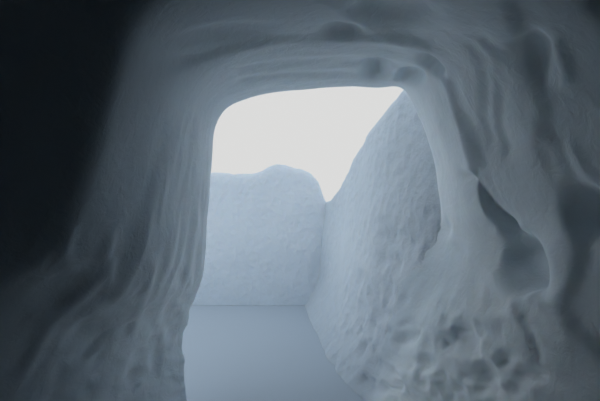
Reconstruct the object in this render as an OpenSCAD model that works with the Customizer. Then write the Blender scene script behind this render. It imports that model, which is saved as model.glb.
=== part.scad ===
// Snow-block igloo: a domed chamber of leaning block courses, a short vaulted
// porch, and an L-shaped windbreak before the doorway. The doorway faces -Y.
// Lengths are in millimetres, and the model stands on z = 0.

/* [Chamber] */
// Finished inside radius of the chamber at the floor
chamber_r = 1400; // [1250:10:1600]
// Finished inside height of the chamber
chamber_h = 1650; // [1500:10:1900]
// Thickness of the snow blocks in the dome
block_t = 240; // [180:5:300]
// Thickness of the smoothed and glazed lining at the corners of the courses
lining_t = 25; // [18:1:40]
// Height at which the lining's foot meets the trodden floor
lining_foot = 10; // [5:1:30]
// Angle at the top of the dome that the key block closes, from the vertical
key_angle = 11; // [9:1:14]
// Diameter of the vent hole through the key block
vent_d = 90; // [60:5:140]

/* [Blocks] */
// Bevel on the outer edges of a block
arris = 22; // [10:1:35]
// Width of the joint between two blocks of a course
joint_gap = 0.4; // [0.3:0.1:0.8]
// Clearance where one course or piece lies against another
seat_gap = 0.3; // [0.2:0.1:0.6]
// Height of the lintel block above the lined crown of the passage, at its inner face
lintel_h = 84; // [60:2:110]

/* [Doorway] */
// Clear width of the doorway at the floor
door_floor_w = 768; // [700:4:840]
// Clear width of the doorway where its arch springs
door_w = 656; // [600:4:720]
// Clear height of the doorway at its crown
door_h = 944; // [880:4:980]
// Height at which the arch springs
spring_h = 640; // [560:10:700]
// Squareness of the arch, where 2 is an ellipse
arch_power = 3.3; // [2.2:0.1:4]
// How much wider the passage gets on each side, ring by ring, going in
step_w = 18; // [8:1:24]
// How much higher the passage gets, ring by ring, going in
step_h = 6; // [3:1:12]

/* [Porch] */
// Distance that the porch stands out from the foot of the dome
porch_reach = 215; // [150:5:320]
// Depth of one arch ring of the porch
ring_depth = 260; // [200:10:300]
// Thickness of the porch blocks
porch_t = 200; // [150:5:260]
// Angle round the arch at which the crown block starts
crown_from = 52; // [40:1:62]

/* [Windbreak] */
// Distance from the passage's middle to the foot of the side wall
side_foot_x = 184; // [150:2:240]
// Thickness of the side wall at its foot
side_t = 300; // [240:10:360]
// Lean of the faces towards the yard, in millimetres a metre
batter = 94; // [40:2:120]
// Distance from the porch to the yard face of the front wall
yard_length = 1520; // [1200:10:1800]
// Thickness of the front wall at its foot
front_t = 320; // [260:10:380]
// How far the front wall runs past the passage's middle
front_run = 1150; // [900:10:1400]
// Height of a course in the windbreak
wall_course_h = 280; // [240:5:300]
// How far the side wall's face draws back where it meets the porch
sweep_w = 150; // [60:5:200]
// Length along which it draws back
sweep_length = 500; // [300:10:700]
// Angle by which the side wall closes in on the yard, going out
side_turn = 5; // [0:0.5:7]
// Height of the side wall beside the porch
side_near_h = 1000; // [920:5:1080]
// Height of the side wall in the corner of the windbreak
corner_h = 604; // [590:2:660]
// Height of the front wall
front_h = 770; // [720:5:840]
// Height of the heap of snow on the front wall
heap_h = 78; // [40:2:120]
// Distance from the passage's middle to the highest point of the heap
heap_x = 190; // [140:5:400]
// Distance from the line of the side wall's foot to the end of the front crest's dip
dip_w = 74; // [40:2:120]
// Length along which the crest rises again
rise_w = 126; // [80:2:200]

/* [Bank] */
// Height of the bank of packed snow along the passage's right foot
bank_h = 500; // [300:10:560]
// Width of that bank at the floor, measured from the doorway's edge
bank_w = 200; // [120:5:240]
// Angle by which the bank draws back towards the wall, going in
bank_turn = 22; // [12:1:26]

/* [Carving] */
// Width of the scoop in the right wall of the passage
scoop_w = 150; // [100:5:180]
// Depth of that scoop
scoop_depth = 28; // [15:1:32]
// Height of its middle
scoop_z = 513; // [420:1:560]
// Distance from the porch's outer face to its middle
scoop_in = 470; // [420:5:520]
// Width of a dimple under the vault
dimple_w = 44; // [30:2:60]
// Depth of a dimple
dimple_depth = 9; // [5:1:14]

/* [Hidden] */

$fn = 180;

// Blocks in each course from the ground up, and the turn that breaks the joints
BLOCKS = [15, 15, 15, 10, 10, 5];
TURN = [12, 0, 12, 18, 0, 36];
course_count = len(BLOCKS);
// The courses that the doorway cuts, the lintel block's course being the last
cut_courses = 3;
// Dimples under the vault: angle round the arch, and distance in, in ring depths
DIMPLES = [[103, 0.83], [123, 0.58], [132, 0.93]];
// Share of the bank's width over which its face rises
bank_top = 0.85;
// Width of the front wall's crest left clear on each side of the heap
heap_edge = 5;
// Bends of the side wall's crest: share of its length, and of its fall to the corner
CREST = [[0, 0], [0.19, 0.15], [0.71, 0.92], [1, 1]];
// Lumps of the heap: shift in radii of the largest, then shares of its radius and height
LUMPS = [[0, 1, 1], [-1.15, 0.75, 0.6], [1.25, 0.8, 0.45]];

outer_r = chamber_r + lining_t + block_t;
lip_y = -(outer_r + porch_reach);
mid_ring_y = lip_y + ring_depth;
inner_ring_y = lip_y + 2 * ring_depth;
yard_y = lip_y - yard_length;
end_y = yard_y - front_t;
// The origin lies under the middle of the whole model
dome_y = -(outer_r + end_y) / 2;

lining_side = 2 * step_w + lining_t;
lining_top = 2 * step_h + lining_t;
lintel_bed = asin((door_h + lining_top + lintel_h) / (chamber_h + lining_t));
side_length = yard_length + front_t;
// Length by which a cutting shape runs past what it cuts
over = 50;
arch_steps = 28;
dome_steps = 30;
sweep_steps = 8;

snow = [0.86, 0.91, 0.95];
packed_snow = [0.78, 0.85, 0.91];
glazed_snow = [0.66, 0.75, 0.83];

function toward(p, q, d) = p + (q - p) * d / norm(q - p);
// Point of the dome's section at angle t, grown by a from the finished inside
function dome_pt(t, a) = [(chamber_r + a) * cos(t), (chamber_h + a) * sin(t)];
// Angle of the bed under course k: even up to the lintel's top, and even from there
function bed_angle(k) = k <= cut_courses ? lintel_bed * k / cut_courses
    : lintel_bed + (90 - key_angle - lintel_bed) * (k - cut_courses) / (course_count - cut_courses);
seat_angle = seat_gap / chamber_r * 180 / PI;

// Half of the section under the chords that join the beds, grown by a
function chord_section(a) = concat([[0, 0]],
    [for (k = [0:course_count]) dome_pt(bed_angle(k), a)], [[0, chamber_h + a]]);

// Finished inside of the chamber, a smooth curve
function inside_section() = concat([[0, 0]],
    [for (i = [0:dome_steps]) dome_pt(i * 90 / dome_steps, 0)]);

module chord_dome(a) {
    rotate_extrude() polygon(chord_section(a));
}

module inside_dome() {
    rotate_extrude() polygon(inside_section());
}

// Section of course k, with its outer edges bevelled
function course_section(k) =
    let (low = bed_angle(k), high = bed_angle(k + 1) - seat_angle,
        a = lining_t, b = lining_t + block_t,
        low_in = dome_pt(low, a), low_out = dome_pt(low, b),
        high_in = dome_pt(high, a), high_out = dome_pt(high, b))
    concat([low_in],
        k == 0 ? [low_out] : [toward(low_out, low_in, arris), toward(low_out, high_out, arris)],
        [toward(high_out, low_out, arris), toward(high_out, high_in, arris), high_in]);

// V-shaped groove along a joint on the outer face of course k
module joint_groove(k, at) {
    low = dome_pt(bed_angle(k), lining_t + block_t);
    high = dome_pt(bed_angle(k + 1), lining_t + block_t);
    run = high - low;
    rotate([0, 0, at]) translate([low[0], 0, low[1]]) rotate([0, atan2(run[0], run[1]), 0])
        translate([0, 0, -over]) linear_extrude(norm(run) + 2 * over)
            polygon([[arris, 0], [0, arris], [-arris, 0], [0, -arris]]);
}

// Block i of course k, where block 0 is centred on or starts at the doorway
module dome_block(k, i) {
    width = 360 / BLOCKS[k];
    gap = joint_gap / dome_pt(bed_angle(k + 1), lining_t)[0] * 180 / PI;
    start = -90 + TURN[k] + (i - 1) * width;
    difference() {
        rotate([0, 0, start + gap / 2]) rotate_extrude(angle = width - gap)
            polygon(course_section(k));
        joint_groove(k, start);
        joint_groove(k, start + width);
        if (k < cut_courses) doorway_cut();
    }
}

// The ring of blocks of course k from number first to number last
module block_run(k, first, last) {
    for (i = [first:last]) dome_block(k, i);
}

// Passage section, wider by s on each side and higher by c than the doorway
function arch_pt(q, s, c) = [
    (door_w / 2 + s) * sign(cos(q)) * pow(abs(cos(q)), 2 / arch_power),
    spring_h + (door_h + c - spring_h) * pow(sin(q), 2 / arch_power)];
function jamb_pt(z, s) =
    [door_floor_w / 2 + s + (door_w - door_floor_w) / 2 * z / spring_h, z];
function arch_run(from, to, s, c) =
    [for (i = [0:arch_steps]) arch_pt(from + (to - from) * i / arch_steps, s, c)];
function arch_section(s, c) = concat([jamb_pt(0, s)], arch_run(0, 180, s, c),
    [[-jamb_pt(0, s)[0], 0]]);

// Upright outline in x and z, drawn along y from one plane to another
module along_y(from, to) {
    translate([0, to, 0]) rotate([90, 0, 0]) linear_extrude(to - from) children();
}

module passage(from, to, s, c) {
    along_y(from, to) polygon(arch_section(s, c));
}

// What lies under the foot of the lining
module below_lining() {
    translate([-outer_r, lip_y - over, -over]) cube([2 * outer_r, 3 * outer_r, over + lining_foot]);
}

// Space that the blocks leave for the lined passage
module doorway_cut() {
    passage(lip_y - over, 0, lining_side + seat_gap, lining_top + seat_gap);
}

// The open passage, stepping out ring by ring towards the chamber
module passage_space() {
    passage(lip_y - over, mid_ring_y, 0, 0);
    passage(mid_ring_y, inner_ring_y, step_w, step_h);
    passage(inner_ring_y, 0, 2 * step_w, 2 * step_h);
}

module key() {
    low = bed_angle(course_count);
    a = lining_t;
    b = lining_t + block_t;
    low_out = dome_pt(low, b);
    top = [vent_d / 2, chamber_h + b];
    difference() {
        rotate_extrude() polygon([[0, chamber_h + a], dome_pt(low, a),
            toward(low_out, dome_pt(low, a), arris), toward(low_out, top, arris),
            top, [0, chamber_h + b]]);
        vent();
    }
}

module vent() {
    translate([0, 0, chamber_h - over]) cylinder(d = vent_d, h = block_t + lining_t + 2 * over);
}

module dome_lining_body() {
    difference() {
        chord_dome(lining_t - seat_gap);
        inside_dome();
        passage_space();
        vent();
        below_lining();
    }
}

module passage_lining_body() {
    difference() {
        passage(lip_y, 0, lining_side, lining_top);
        passage_space();
        dents();
        chord_dome(lining_t);
        below_lining();
    }
}

// Radius of the ball whose cap is w wide and h high
function ball_r(w, h) = (w * w / 4 + h * h) / (2 * h);

// Hollows in the lining: the scoop in the right wall, and the dimples overhead
module dents() {
    scoop_r = ball_r(scoop_w, scoop_depth);
    wall = jamb_pt(scoop_z, step_w)[0];
    translate([-(wall + scoop_depth - scoop_r), lip_y + scoop_in, scoop_z]) sphere(r = scoop_r);
    dimple_r = ball_r(dimple_w, dimple_depth);
    for (d = DIMPLES) {
        at = arch_pt(d[0], dimple_depth - dimple_r, dimple_depth - dimple_r);
        translate([at[0], lip_y + d[1] * ring_depth, at[1]]) sphere(r = dimple_r);
    }
}

// One block of an arch ring, between two angles round the arch
module vault_block(from_y, to_y, from, to) {
    s = lining_side + seat_gap;
    c = lining_top + seat_gap;
    cut = joint_gap / door_w * 180 / PI;
    along_y(from_y, to_y) polygon(concat(
        arch_run(from + cut, to - cut, s, c),
        arch_run(to - cut, from + cut, s + porch_t, c + porch_t)));
}

// One block of a porch jamb, between two heights, on the side that m gives
module jamb_block(from_y, to_y, low, high, m) {
    s = lining_side + seat_gap;
    along_y(from_y, to_y) scale_x(m) polygon([jamb_pt(low, s), jamb_pt(low, s + porch_t),
        jamb_pt(high - joint_gap, s + porch_t), jamb_pt(high - joint_gap, s)]);
}

module scale_x(m) {
    if (m < 0) mirror([1, 0]) children();
    else children();
}

module ring_jambs(from_y, to_y, m) {
    jamb_block(from_y, to_y, 0, spring_h / 2, m);
    jamb_block(from_y, to_y, spring_h / 2, spring_h, m);
}

module ring_vault(from_y, to_y) {
    vault_block(from_y, to_y, 0, crown_from);
    vault_block(from_y, to_y, crown_from, 180 - crown_from);
    vault_block(from_y, to_y, 180 - crown_from, 180);
}

// The inner ring is cut to the curve of the dome that it leans against
module fitted_to_dome() {
    difference() {
        children();
        chord_dome(lining_t + block_t + seat_gap);
    }
}

// Bank of trodden snow along the right foot of the passage
module bank() {
    foot = door_floor_w / 2 - bank_w;
    intersection() {
        translate([-foot, lip_y, 0]) rotate([0, 0, bank_turn])
            along_y(-bank_w, 2 * chamber_r) mirror([1, 0])
                polygon([[0, 0], [bank_w * bank_top, bank_h], [2 * bank_w, bank_h], [2 * bank_w, 0]]);
        union() {
            passage(lip_y, mid_ring_y, -seat_gap, 0);
            passage(mid_ring_y, min(inner_ring_y, -chamber_r), step_w - seat_gap, 0);
            if (inner_ring_y < -chamber_r)
                passage(inner_ring_y, -chamber_r, 2 * step_w - seat_gap, 0);
        }
    }
}

// Section of a wall course, with the yard face leaning back
function wall_section(low, high, t) =
    [[batter * low / 1000, low], [batter * high / 1000, high], [t, high], [t, low]];

// Turned about the foot of the side wall beside the porch
module side_turned() {
    translate([-side_foot_x, lip_y, 0]) rotate([0, 0, side_turn])
        translate([side_foot_x, -lip_y, 0]) children();
}

module side_wall_course(n) {
    low = (n - 1) * wall_course_h;
    top = n == 3 ? side_near_h + over : n * wall_course_h - seat_gap;
    blocks = n == 2 ? 4 : 3;
    first = n == 2 ? 0.5 : 1;
    pitch = side_length / 3;
    intersection() {
        side_turned() difference() {
            for (i = [0:blocks - 1]) {
                from = i == 0 ? -over : (i - 1 + first) * pitch;
                to = i == blocks - 1 ? side_length + over : (i + first) * pitch - joint_gap;
                along_y(lip_y - to, lip_y - from)
                    translate([-side_foot_x, 0]) mirror([1, 0])
                        polygon(wall_section(low, top, side_t));
            }
            sweep_cut();
        }
        side_elevation();
    }
}

// What the side wall's face lacks beside the porch. It draws back in a curve, and
// above the foot no further than the slope of the bank that it runs on from.
module sweep_cut() {
    curve = [for (i = [0:sweep_steps]) let (u = i / sweep_steps)
        [-side_foot_x - sweep_w * pow(1 - u, 2), lip_y - sweep_length * u]];
    slope = bank_w * bank_top / bank_h;
    turn = atan(slope * bank_h / sweep_length / 2);
    intersection() {
        translate([0, 0, -over]) linear_extrude(side_near_h + 3 * over)
            polygon(concat([[0, lip_y + over], [-side_foot_x - sweep_w, lip_y + over]], curve,
                [[0, lip_y - sweep_length]]));
        translate([-side_foot_x, lip_y, 0]) rotate([0, 0, turn])
            along_y(-2 * sweep_length, sweep_length)
                polygon([[0, 0], [-slope * side_near_h, side_near_h],
                    [-slope * side_near_h, side_near_h + over], [side_t, side_near_h + over], [side_t, 0]]);
    }
}

// The side wall's outline from the yard, with its crest falling to the corner
module side_elevation() {
    crest = [for (p = CREST)
        [-max(p[0] * side_length, seat_gap), side_near_h + (corner_h - side_near_h) * p[1]]];
    translate([-side_foot_x - side_t - over, lip_y, 0]) rotate([90, 0, 90])
        linear_extrude(side_t + 2 * over + side_length * tan(side_turn))
            polygon(concat(crest, [[-side_length, 0], [-seat_gap, 0]]));
}

module front_wall_course(n) {
    low = (n - 1) * wall_course_h;
    high = n == 3 ? front_h : n * wall_course_h - seat_gap;
    length = front_run + side_foot_x;
    blocks = n == 2 ? 3 : 2;
    shift = n == 2 ? 0.5 : 1;
    pitch = length / 2;
    difference() {
        for (i = [0:blocks - 1]) {
            from = i == 0 ? 0 : (i - 1 + shift) * pitch;
            to = i == blocks - 1 ? length : (i + shift) * pitch - joint_gap;
            translate([-side_foot_x + from, yard_y, 0]) rotate([90, 0, 90])
                linear_extrude(to - from) mirror([1, 0])
                    polygon(wall_section(low, high, front_t));
        }
        corner_cut();
    }
}

// The side wall's leaning face and the dip in the crest above the corner
module corner_cut() {
    side_turned() along_y(end_y - 2 * over, yard_y + 2 * over) polygon([
        [-side_foot_x - side_t, -over], [-side_foot_x + seat_gap, -over], [-side_foot_x + seat_gap, 0],
        [-side_foot_x + seat_gap - batter * front_h / 1000, front_h],
        [-side_foot_x + seat_gap - batter * front_h / 1000, front_h + over],
        [-side_foot_x - side_t, front_h + over]]);
    along_y(end_y - over, yard_y + over) polygon([
        [-side_foot_x - over, corner_h], [-side_foot_x + dip_w, corner_h],
        [-side_foot_x + dip_w + rise_w, front_h], [-side_foot_x + dip_w + rise_w, front_h + over],
        [-side_foot_x - over, front_h + over]]);
}

// Cap of a sphere, r in radius at its foot and h high
module cap(r, h) {
    ball = ball_r(2 * r, h);
    intersection() {
        translate([0, 0, h - ball]) sphere(r = ball);
        translate([-r, -r, 0]) cube([2 * r, 2 * r, h]);
    }
}

module heap() {
    crest_t = front_t - batter * front_h / 1000;
    r = crest_t / 2 - heap_edge;
    translate([heap_x, yard_y - front_t + crest_t / 2, front_h + seat_gap])
        for (lump = LUMPS) translate([lump[0] * r, 0, 0]) cap(lump[1] * r, lump[2] * heap_h);
}

module placed(tint) {
    color(tint) translate([0, dome_y, 0]) children();
}

module course_1() { placed(snow) block_run(0, 2, 13); }
module course_2() { placed(snow) block_run(1, 2, 14); }
module course_3() { placed(snow) block_run(2, 2, 13); }
module course_4() { placed(snow) block_run(3, 0, 9); }
module course_5() { placed(snow) block_run(4, 0, 9); }
module course_6() { placed(snow) block_run(5, 0, 4); }
module key_block() { placed(snow) key(); }
module door_block_1_left() { placed(snow) dome_block(0, 1); }
module door_block_1_right() { placed(snow) dome_block(0, 14); }
module door_block_2_left() { placed(snow) dome_block(1, 1); }
module door_block_2_right() { placed(snow) dome_block(1, 0); }
module door_block_3_left() { placed(snow) dome_block(2, 1); }
module door_block_3_right() { placed(snow) dome_block(2, 14); }
module lintel_block() { placed(snow) dome_block(2, 0); }
module dome_lining() { placed(glazed_snow) dome_lining_body(); }
module passage_lining() { placed(glazed_snow) passage_lining_body(); }
module passage_bank() { placed(packed_snow) bank(); }
module inner_ring_left() { placed(snow) fitted_to_dome() ring_jambs(mid_ring_y + seat_gap, 0, 1); }
module inner_ring_right() { placed(snow) fitted_to_dome() ring_jambs(mid_ring_y + seat_gap, 0, -1); }
module inner_ring_vault() { placed(snow) fitted_to_dome() ring_vault(mid_ring_y + seat_gap, 0); }
module outer_ring_left() { placed(snow) ring_jambs(lip_y, mid_ring_y, 1); }
module outer_ring_right() { placed(snow) ring_jambs(lip_y, mid_ring_y, -1); }
module outer_ring_vault() { placed(snow) ring_vault(lip_y, mid_ring_y); }
module side_wall_course_1() { placed(snow) side_wall_course(1); }
module side_wall_course_2() { placed(snow) side_wall_course(2); }
module side_wall_course_3() { placed(snow) side_wall_course(3); }
module front_wall_course_1() { placed(snow) front_wall_course(1); }
module front_wall_course_2() { placed(snow) front_wall_course(2); }
module front_wall_course_3() { placed(snow) front_wall_course(3); }
module crest_heap() { placed(packed_snow) heap(); }

course_1();
course_2();
course_3();
course_4();
course_5();
course_6();
key_block();
door_block_1_left();
door_block_1_right();
door_block_2_left();
door_block_2_right();
door_block_3_left();
door_block_3_right();
lintel_block();
dome_lining();
passage_lining();
passage_bank();
inner_ring_left();
inner_ring_right();
inner_ring_vault();
outer_ring_left();
outer_ring_right();
outer_ring_vault();
side_wall_course_1();
side_wall_course_2();
side_wall_course_3();
front_wall_course_1();
front_wall_course_2();
front_wall_course_3();
crest_heap();
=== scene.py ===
import math
import random

import bmesh
import bpy
import numpy as np
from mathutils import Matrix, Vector, noise


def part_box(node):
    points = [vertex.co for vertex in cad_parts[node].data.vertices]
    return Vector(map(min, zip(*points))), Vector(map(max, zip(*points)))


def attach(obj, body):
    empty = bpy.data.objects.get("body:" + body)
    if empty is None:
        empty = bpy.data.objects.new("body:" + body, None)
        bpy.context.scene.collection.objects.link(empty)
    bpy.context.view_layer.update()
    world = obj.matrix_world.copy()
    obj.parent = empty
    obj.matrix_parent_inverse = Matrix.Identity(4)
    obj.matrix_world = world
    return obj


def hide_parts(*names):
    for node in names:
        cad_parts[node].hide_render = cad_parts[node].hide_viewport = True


# Snow-block igloo, seen from low inside its chamber out through the passage.
# Metres, +Z up, the doorway faces -Y, and +X is the left of someone looking out.

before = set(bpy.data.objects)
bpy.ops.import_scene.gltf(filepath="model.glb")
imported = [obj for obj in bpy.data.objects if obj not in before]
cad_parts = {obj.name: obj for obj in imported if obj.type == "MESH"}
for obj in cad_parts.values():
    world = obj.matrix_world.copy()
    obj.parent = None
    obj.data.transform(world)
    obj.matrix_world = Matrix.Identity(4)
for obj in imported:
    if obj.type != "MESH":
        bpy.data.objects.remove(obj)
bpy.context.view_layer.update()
random.seed(11)


# Sizes shared by several pieces, taken from the frame where it has them

def middle(node):
    low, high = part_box(node)
    return (low + high) / 2


dome = {
    "centreY": middle("course_4").y,
    "radius": 1.4,  # finished inside, at the floor
    "height": 1.65,
    "lining": 0.025,
    "block": 0.24,
    "keyAngle": 11,  # degrees, from the vertical
    "lintelBed": 39.48,  # angle of the bed above the lintel block
    "cutCourses": 3,
    "counts": [15, 15, 15, 10, 10, 5],
    "turns": [12, 0, 12, 18, 0, 36],
}
door = {
    "lipY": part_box("outer_ring_left")[0].y,
    "midY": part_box("outer_ring_left")[1].y,
    "floorHalf": 0.384,
    "springHalf": 0.328,
    "springZ": 0.64,
    "crownZ": 0.944,
    "power": 3.3,
    "stepW": 0.018,
    "stepH": 0.006,
    "porch": 0.2,
    "crownFrom": 52,
}
door["side"] = 2 * door["stepW"] + dome["lining"]
door["top"] = 2 * door["stepH"] + dome["lining"]

view = {
    "eyeZ": 0.624,
    "toLip": 1.36,  # from the lens to the outer edge of the doorway
    "aside": 0.056,  # left of the passage's middle
    "focalPx": 470.0,  # in the photograph's 600 pixels
    "width": 600,
    "height": 401,
}
eye = Vector((view["aside"], door["lipY"] + view["toLip"], view["eyeZ"]))


# Camera, light and stage

def makeCamera():
    lens = bpy.data.cameras.new("camera")
    lens.sensor_width = 36
    lens.lens = view["focalPx"] * lens.sensor_width / view["width"]
    lens.clip_start = 0.02
    camera = bpy.data.objects.new("camera", lens)
    camera.location = eye
    camera.rotation_euler = (math.radians(90), 0, math.radians(180))
    bpy.context.collection.objects.link(camera)
    bpy.context.scene.camera = camera


# Shader maths: a socket that Python's operators work on

class Sock:
    def __init__(self, tree, socket):
        self.tree = tree
        self.socket = socket

    def calc(self, operation, other=None, swap=False):
        node = self.tree.nodes.new("ShaderNodeMath")
        node.operation = operation
        terms = [self] if other is None else ([other, self] if swap else [self, other])
        for slot, term in enumerate(terms):
            if isinstance(term, Sock):
                self.tree.links.new(term.socket, node.inputs[slot])
            else:
                node.inputs[slot].default_value = term
        return Sock(self.tree, node.outputs[0])

    def __add__(self, other):
        return self.calc("ADD", other)

    def __radd__(self, other):
        return self.calc("ADD", other, True)

    def __sub__(self, other):
        return self.calc("SUBTRACT", other)

    def __rsub__(self, other):
        return self.calc("SUBTRACT", other, True)

    def __mul__(self, other):
        return self.calc("MULTIPLY", other)

    def __rmul__(self, other):
        return self.calc("MULTIPLY", other, True)

    def __pow__(self, other):
        return self.calc("POWER", other)

    def clamp(self):
        return self.calc("MINIMUM", 1.0).calc("MAXIMUM", 0.0)


# The nodes of a material or of the world
class Nodes:
    def __init__(self, owner):
        self.owner = owner
        owner.use_nodes = True
        self.tree = owner.node_tree
        self.tree.nodes.clear()

    # A node of any type: its settings first, then the values or links of its sockets
    def add(self, kind, settings=None, out=0, **sockets):
        node = self.tree.nodes.new("ShaderNode" + kind)
        for key, value in (settings or {}).items():
            setattr(node, key, value)
        for key, value in sockets.items():
            numbered = key[0] == "i" and key[1:].isdigit()
            socket = node.inputs[int(key[1:]) if numbered else key.replace("_", " ")]
            if isinstance(value, Sock):
                self.tree.links.new(value.socket, socket)
            else:
                socket.default_value = value
        return Sock(self.tree, node.outputs[out]) if node.outputs else None

    # 1 for what the camera sees, itself or in a gloss or through a clear part
    def seenDirectly(self):
        camera, glossy, clear = [self.add("LightPath", out="Is %s Ray" % kind)
                                 for kind in ("Camera", "Glossy", "Transmission")]
        return (camera + glossy + clear).clamp()

    def cover(self, body, kind="OutputMaterial"):
        self.add(kind, Surface=body)
        return self.owner


class Shader(Nodes):
    def __init__(self, name):
        super().__init__(bpy.data.materials.new(name))
        self.place = self.add("TexCoord", out="Object")

    def stretched(self, scale):
        return self.add("Mapping", Vector=self.place, Scale=scale)

    def cloud(self, scale, detail=4, rough=0.55, where=None, distortion=0.0):
        return self.add("TexNoise", Vector=where or self.place, Scale=scale,
                        Detail=detail, Roughness=rough, Distortion=distortion)

    def pits(self, scale):
        return self.add("TexVoronoi", {"feature": "SMOOTH_F1"}, Vector=self.place,
                        Scale=scale, Smoothness=0.35, Randomness=1.0)

    # Distance along one of the model's own axes
    def along(self, axis):
        return self.add("SeparateXYZ", out="XYZ".index(axis), Vector=self.place)

    # 1 at the ground, and 0 from half a metre up: the mask for painted shade towards the ground
    def lowness(self, uneven):
        return (1.0 - (self.along("Z") + uneven * 0.15) * 1.9).clamp()

    def blend(self, factor, low, high):
        return self.add("Mix", {"data_type": "RGBA"}, out=2, i0=factor, i6=low, i7=high)

    # The bump stands for relief of a depth in metres; the rest are the shader's own settings
    def finish(self, colour, roughness, height, depth, strength, **settings):
        normal = self.add("Bump", Height=height, Distance=depth, Strength=strength)
        body = self.add("BsdfPrincipled", Base_Color=colour, Roughness=roughness, Normal=normal,
                        Subsurface_Radius=snowLook["scatter"], **settings)
        return self.cover(body)


snowLook = {
    "bright": (0.86, 0.90, 0.935, 1),
    "shade": (0.70, 0.77, 0.84, 1),
    "glazeBright": (0.87, 0.94, 0.99, 1),
    "glazeShade": (0.75, 0.85, 0.94, 1),
    "ice": (0.54, 0.67, 0.77, 1),
    # painted shade inside the chamber
    "chamber": (0.33, 0.38, 0.41, 1),
    # painted shade along the passage's foot
    "foot": (0.48, 0.57, 0.66, 1),
    # painted shade on the bank, matching the side wall's, and lighter low down
    "bank": (0.52, 0.62, 0.70, 1),
    "bankLowShade": (0.76, 0.85, 0.91, 1),
    "scatter": (0.35, 0.6, 1.0),
}
packedLook = {
    "bright": (0.76, 0.82, 0.87, 1),
    "shade": (0.64, 0.72, 0.79, 1),
    # painted shade towards the ground
    "foot": (0.48, 0.57, 0.66, 1),
}
# The front wall's snow: a darker copy of the packed snow, painted shade, darker still at the foot
frontWallShadeLook = {
    "bright": (0.70, 0.77, 0.83, 1),
    "shade": (0.60, 0.68, 0.76, 1),
    "foot": (0.36, 0.45, 0.54, 1),
}
# The side wall's snow: a darker copy of the packed snow, painted shade on a face that takes less light; its
# foot and far tones are painted shade too
sideWallShadeLook = {
    "bright": (0.62, 0.70, 0.77, 1),
    "shade": (0.52, 0.60, 0.67, 1),
    "foot": (0.35, 0.43, 0.51, 1),
    "far": (0.42, 0.50, 0.57, 1),
}
matte = {"Specular_IOR_Level": 0.3, "Subsurface_Weight": 0.18, "Subsurface_Scale": 0.02}


def blockSnow():
    look = Shader("block snow")
    broad = look.cloud(3.1, 3)
    grain = look.cloud(160, 5, 0.7)
    drift = look.cloud(14, 5, 0.6, look.stretched((1, 1, 2.4)))
    crust = look.pits(55)
    tone = (broad * 0.6 + drift * 0.5 - 0.05).clamp()
    colour = look.blend(tone, snowLook["shade"], snowLook["bright"])
    rough = 0.78 + grain * 0.2
    height = drift * 0.5 + crust * 0.22 + grain * 0.12
    return look.finish(colour, rough, height, 0.012, 0.8, **matte)


def glazedSnow():
    look = Shader("glazed snow")
    broad = look.cloud(2.2, 4)
    layer = look.cloud(5.0, 5, 0.6, look.stretched((0.8, 0.8, 7.0)), 0.3)
    crust = look.cloud(34, 4, 0.55, None, 0.5)
    grain = look.cloud(210, 4, 0.7)
    tone = (broad * 0.55 + layer * 0.3 + crust * 0.3 - 0.08).clamp()
    colour = look.blend(tone, snowLook["glazeShade"], snowLook["glazeBright"])
    icy = (look.cloud(6.5, 4) - 0.55).clamp() * 2.2
    colour = look.blend((icy * 0.5).clamp(), colour, snowLook["ice"])
    across, depth, height = [look.along(axis) for axis in "XYZ"]
    low = look.lowness(broad)
    # Painted shade towards the floor: greyer along the foot, but hardly on the bank's side
    colour = look.blend(low ** 1.5 * (1.0 - (across * -6.0).clamp() * 0.9), colour, snowLook["foot"])
    # Painted shade on the bank, in tones which meet the side wall's painted shade beyond the lip
    bankShadeMask = ((door["lipY"] + 0.30 - depth) * 4.0).clamp() * ((0.60 - height) * 6.0).clamp() \
        * (across * -8.0).clamp()
    beyond = ((door["lipY"] + 0.02 - depth) * 7.0).clamp()
    bankFloorShade = look.blend(beyond, snowLook["bankLowShade"], sideWallShadeLook["foot"])
    colour = look.blend(bankShadeMask * (beyond * 0.15 + 0.85), colour, look.blend(low, snowLook["bank"], bankFloorShade))
    # Painted shade, darker from the passage's inner end on into the chamber
    chamber = ((depth + across * 0.34 - height * 0.11 + 0.515) * 2.6).clamp()
    colour = look.blend(chamber, colour, snowLook["chamber"])
    rough = 0.62 - icy.clamp() * 0.2 + grain * 0.15
    relief = crust * 0.6 + grain * 0.05
    return look.finish(colour, rough, relief, 0.007, 0.7, Specular_IOR_Level=0.35,
                       Subsurface_Weight=0.25, Subsurface_Scale=0.03)


def packedSnow(name, tones):
    look = Shader(name)
    broad = look.cloud(5, 4)
    lump = look.cloud(32, 5, 0.65)
    pit = look.pits(26)
    grain = look.cloud(190, 4, 0.7)
    tone = (broad * 0.5 + lump * 0.5).clamp()
    colour = look.blend(tone, tones["shade"], tones["bright"])
    # Painted shade towards the ground
    colour = look.blend(look.lowness(broad) ** 1.5, colour, tones["foot"])
    # Painted shade on the side wall's far end
    if "far" in tones:
        colour = look.blend((-1.75 - look.along("Y")).clamp() * 0.55, colour, tones["far"])
    rough = 0.8 + grain * 0.2
    height = lump * 0.5 + pit * 0.4 + grain * 0.12
    return look.finish(colour, rough, height, 0.014, 0.9, **matte)


stageLook = {
    "reach": 150,
    "bounce": (0.90, 0.94, 0.97, 1),  # the floor's colour for the light that it throws back,
    "floor": (0.405, 0.485, 0.565, 1),  # and for the camera
    "light": (0.90, 0.95, 1.0, 1),
    "strength": 0.92,
    "backdrop": (0.71, 0.71, 0.705, 1),
}


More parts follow.
